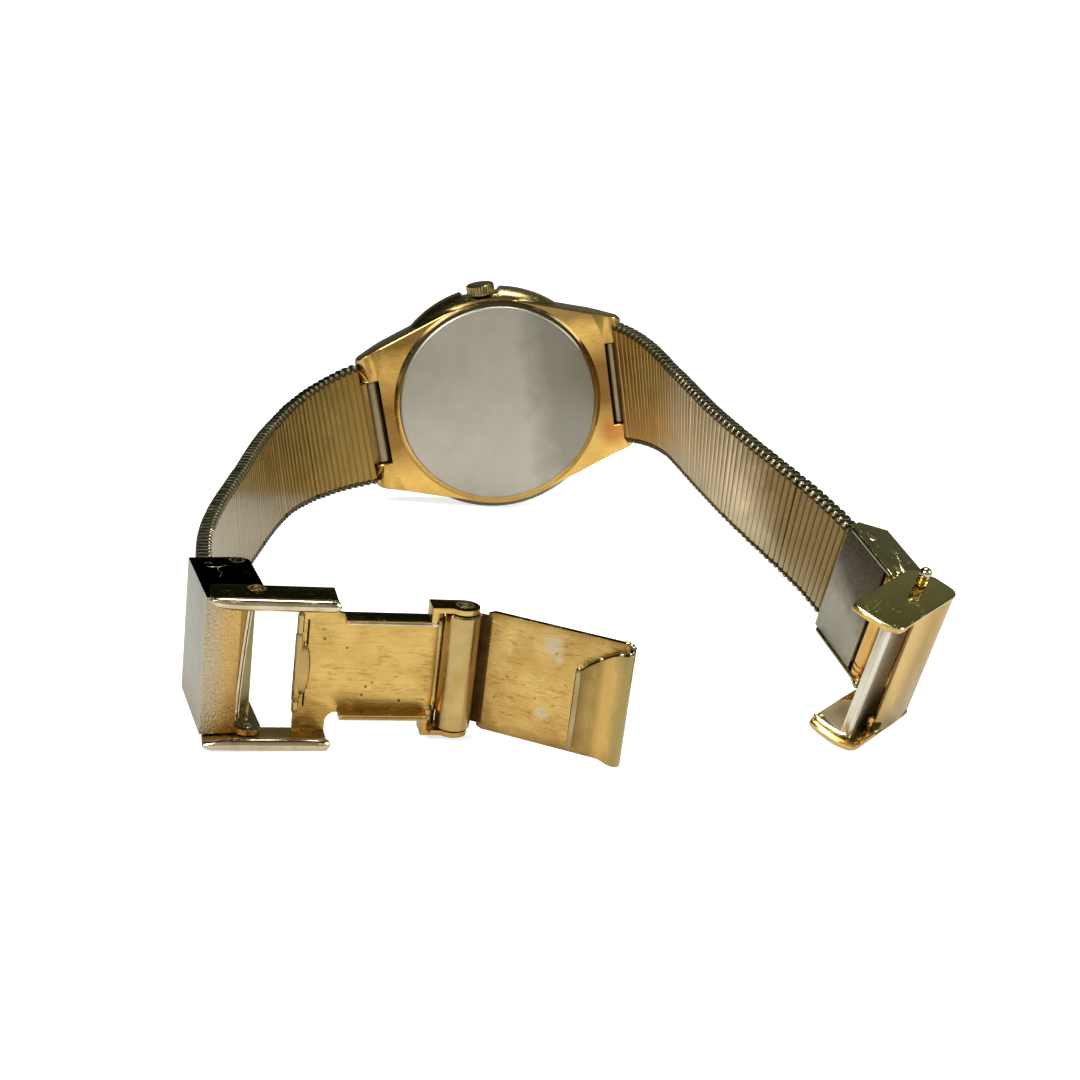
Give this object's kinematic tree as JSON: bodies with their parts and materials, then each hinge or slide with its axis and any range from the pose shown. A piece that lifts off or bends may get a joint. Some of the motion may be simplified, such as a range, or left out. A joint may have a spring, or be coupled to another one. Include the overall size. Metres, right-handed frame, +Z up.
{
  "type": "analog quartz watch",
  "caption": "Thin round quartz wristwatch with a dial and three hands, on a fine-ribbed metal bracelet that opens with a fold-over clasp.",
  "frame": {"origin": "centre of the case back's outer face", "axes": "+Z up, with the watch on the nine o'clock side of its case; -Y out of the case back; the case is rolled 13.5 degrees about Y, so twelve o'clock points to +X and up"},
  "size_m": [0.0772, 0.0829, 0.0319],
  "materials": {
    "case_gold": "satin gold plate on brass, polished flanks",
    "back_steel": "fine satin with light scratches",
    "seal_rubber": "matt",
    "ring_plastic": "moulded",
    "crystal_glass": "polished mineral glass",
    "dial_enamel": "ivory lacquer",
    "hand_gold": "polished",
    "plate_brass": "fine blasted",
    "movement_steel": "ground",
    "board_green": "coated circuit board",
    "coil_copper": "enamelled copper wire",
    "wheel_plastic": "moulded",
    "pin_steel": "drawn wire",
    "band_gold": "satin gold plate, ribbed",
    "clasp_gold": "rolled gold sheet with fine scratches",
    "clasp_steel": "grained steel sheet"
  },
  "bodies": {
    "case": {"case_middle": "case_gold", "crystal": "crystal_glass", "crystal_gasket": "seal_rubber", "case_back": "back_steel", "case_back_gasket": "seal_rubber", "movement_ring": "ring_plastic", "dial": "dial_enamel", "dial_markers": "hand_gold", "main_plate": "plate_brass", "train_bridge": "movement_steel", "bridge_screws": "movement_steel", "circuit_board": "board_green", "quartz_can": "movement_steel", "battery": "movement_steel", "battery_strap": "movement_steel", "coil": "coil_copper", "stator": "movement_steel", "crown_tube": "pin_steel", "lug_bars": "pin_steel"},
    "setting_slide": {"setting_lever": "movement_steel"},
    "crown_and_stem": {"stem": "movement_steel", "crown": "case_gold", "crown_gasket": "seal_rubber"},
    "seconds": {"fourth_wheel": "plate_brass", "second_hand": "hand_gold"},
    "rotor": {"rotor": "movement_steel"},
    "intermediate": {"intermediate_wheel": "wheel_plastic"},
    "third": {"third_wheel": "wheel_plastic"},
    "minutes": {"centre_wheel": "wheel_plastic", "minute_hand": "hand_gold"},
    "minute_wheel": {"minute_wheel": "wheel_plastic"},
    "hours": {"hour_wheel": "wheel_plastic", "hour_hand": "hand_gold"},
    "link_6_1": {"end_link_6": "band_gold", "band_6_1": "band_gold"},
    "link_6_2": {"band_6_2": "band_gold"},
    "link_6_3": {"band_6_3": "band_gold"},
    "link_6_4": {"band_6_4": "band_gold"},
    "link_6_5": {"band_6_5": "band_gold"},
    "link_6_6": {"band_6_6": "band_gold"},
    "link_6_7": {"band_6_7": "band_gold"},
    "cover": {"cover": "clasp_steel", "cover_pin": "pin_steel", "frame_pin": "pin_steel"},
    "clasp_frame": {"clasp_frame": "clasp_gold", "hook_pin": "pin_steel"},
    "hook_plate": {"hook_plate": "clasp_gold"},
    "link_12_1": {"end_link_12": "band_gold", "band_12_1": "band_gold"},
    "link_12_2": {"band_12_2": "band_gold"},
    "link_12_3": {"band_12_3": "band_gold"},
    "link_12_4": {"band_12_4": "band_gold"},
    "link_12_5": {"band_12_5": "band_gold", "tail_box": "clasp_steel", "tail_plate": "clasp_steel", "tail_pin": "pin_steel", "tail_bar": "clasp_gold", "catch_bar": "pin_steel"},
    "catch": {"catch_lever": "clasp_gold", "catch_strip": "clasp_steel"}
  },
  "joints": [
    {"name": "crown_pull", "type": "slide", "parent": "case", "child": "setting_slide", "axis": [-0.2334, 0, 0.9724], "range_m": [0, 0.0008]},
    {"name": "crown_turn", "type": "hinge", "parent": "setting_slide", "child": "crown_and_stem", "pos_m": [-0.0035, 0.0025, 0.01459], "axis": [-0.2334, 0, 0.9724], "continuous": true},
    {"name": "seconds_turn", "type": "hinge", "parent": "case", "child": "seconds", "pos_m": [0, 0.003, 0], "axis": [0, -1, 0], "continuous": true},
    {"name": "rotor_turn", "type": "hinge", "parent": "case", "child": "rotor", "pos_m": [0.00255, 0.003, 0.00417], "axis": [0, -1, 0], "continuous": true},
    {"name": "intermediate_turn", "type": "hinge", "parent": "case", "child": "intermediate", "pos_m": [0.00154, 0.003, 0.00252], "axis": [0, -1, 0], "continuous": true},
    {"name": "third_turn", "type": "hinge", "parent": "case", "child": "third", "pos_m": [-0.00265, 0.003, 0.00132], "axis": [0, -1, 0], "continuous": true},
    {"name": "minutes_turn", "type": "hinge", "parent": "case", "child": "minutes", "pos_m": [0, 0.003, 0], "axis": [0, -1, 0], "continuous": true},
    {"name": "minute_wheel_turn", "type": "hinge", "parent": "case", "child": "minute_wheel", "pos_m": [0.00177, 0.003, -0.00108], "axis": [0, -1, 0], "continuous": true},
    {"name": "hours_turn", "type": "hinge", "parent": "case", "child": "hours", "pos_m": [0, 0.003, 0], "axis": [0, -1, 0], "continuous": true},
    {"name": "lug_6_turn", "type": "hinge", "parent": "case", "child": "link_6_1", "pos_m": [-0.01619, 0.002, -0.00389], "axis": [0.2334, 0, -0.9724], "range_deg": [-2, 35]},
    {"name": "bend_6_1", "type": "hinge", "parent": "link_6_1", "child": "link_6_2", "pos_m": [-0.0255, -0.00525, -0.00607], "axis": [0.1997, 0.0186, -0.9797], "range_deg": [-2, 9]},
    {"name": "bend_6_2", "type": "hinge", "parent": "link_6_2", "child": "link_6_3", "pos_m": [-0.02941, -0.01327, -0.00697], "axis": [0.1648, 0.0219, -0.9861], "range_deg": [-2, 9]},
    {"name": "bend_6_3", "type": "hinge", "parent": "link_6_3", "child": "link_6_4", "pos_m": [-0.03187, -0.02294, -0.00753], "axis": [0.1258, 0.0173, -0.9919], "range_deg": [-2, 9]},
    {"name": "bend_6_4", "type": "hinge", "parent": "link_6_4", "child": "link_6_5", "pos_m": [-0.03382, -0.03274, -0.00786], "axis": [0.0869, 0.0105, -0.9962], "range_deg": [-2, 9]},
    {"name": "bend_6_5", "type": "hinge", "parent": "link_6_5", "child": "link_6_6", "pos_m": [-0.03557, -0.04258, -0.00805], "axis": [0.0481, 0.0028, -0.9988], "range_deg": [-2, 9]},
    {"name": "bend_6_6", "type": "hinge", "parent": "link_6_6", "child": "link_6_7", "pos_m": [-0.03631, -0.05155, -0.00805], "axis": [0.0139, -0.0074, -0.9999], "range_deg": [-2, 9]},
    {"name": "cover_fold", "type": "hinge", "parent": "link_6_7", "child": "cover", "pos_m": [-0.03561, -0.06241, -0.00788], "axis": [0.0222, 0.0239, 0.9995], "range_deg": [-6, 30]},
    {"name": "frame_fold", "type": "hinge", "parent": "cover", "child": "clasp_frame", "pos_m": [-0.03087, -0.06996, -0.0078], "axis": [0.0222, 0.0239, 0.9995], "range_deg": [-20, 60]},
    {"name": "hook_fold", "type": "hinge", "parent": "clasp_frame", "child": "hook_plate", "pos_m": [-0.01131, -0.06865, -0.00827], "axis": [0.0222, 0.0239, 0.9995], "range_deg": [-60, 32]},
    {"name": "lug_12_turn", "type": "hinge", "parent": "case", "child": "link_12_1", "pos_m": [0.01619, 0.002, 0.00389], "axis": [-0.2334, 0, 0.9724], "range_deg": [-2, 60]},
    {"name": "bend_12_1", "type": "hinge", "parent": "link_12_1", "child": "link_12_2", "pos_m": [0.02013, -0.0105, 0.00445], "axis": [-0.1807, -0.0531, 0.9821], "range_deg": [-2, 9]},
    {"name": "bend_12_2", "type": "hinge", "parent": "link_12_2", "child": "link_12_3", "pos_m": [0.02174, -0.02236, 0.00363], "axis": [-0.1312, -0.1192, 0.9842], "range_deg": [-2, 9]},
    {"name": "bend_12_3", "type": "hinge", "parent": "link_12_3", "child": "link_12_4", "pos_m": [0.02405, -0.03301, 0.00224], "axis": [-0.081, -0.1758, 0.9811], "range_deg": [-2, 9]},
    {"name": "bend_12_4", "type": "hinge", "parent": "link_12_4", "child": "link_12_5", "pos_m": [0.02811, -0.04409, 0.0001], "axis": [-0.0183, -0.2291, 0.9732], "range_deg": [-2, 9]},
    {"name": "catch_fold", "type": "hinge", "parent": "link_12_5", "child": "catch", "pos_m": [0.03441, -0.06473, -0.00575], "axis": [0.0385, -0.2772, 0.96], "range_deg": [-10, 65]}
  ],
  "couplings": [
    {"joint": "rotor_turn", "follows": "seconds_turn", "ratio": 30},
    {"joint": "intermediate_turn", "follows": "seconds_turn", "ratio": -5},
    {"joint": "third_turn", "follows": "seconds_turn", "ratio": -0.13333},
    {"joint": "minutes_turn", "follows": "seconds_turn", "ratio": 0.016667},
    {"joint": "minute_wheel_turn", "follows": "seconds_turn", "ratio": -0.0055556},
    {"joint": "hours_turn", "follows": "seconds_turn", "ratio": 0.0013889}
  ]
}
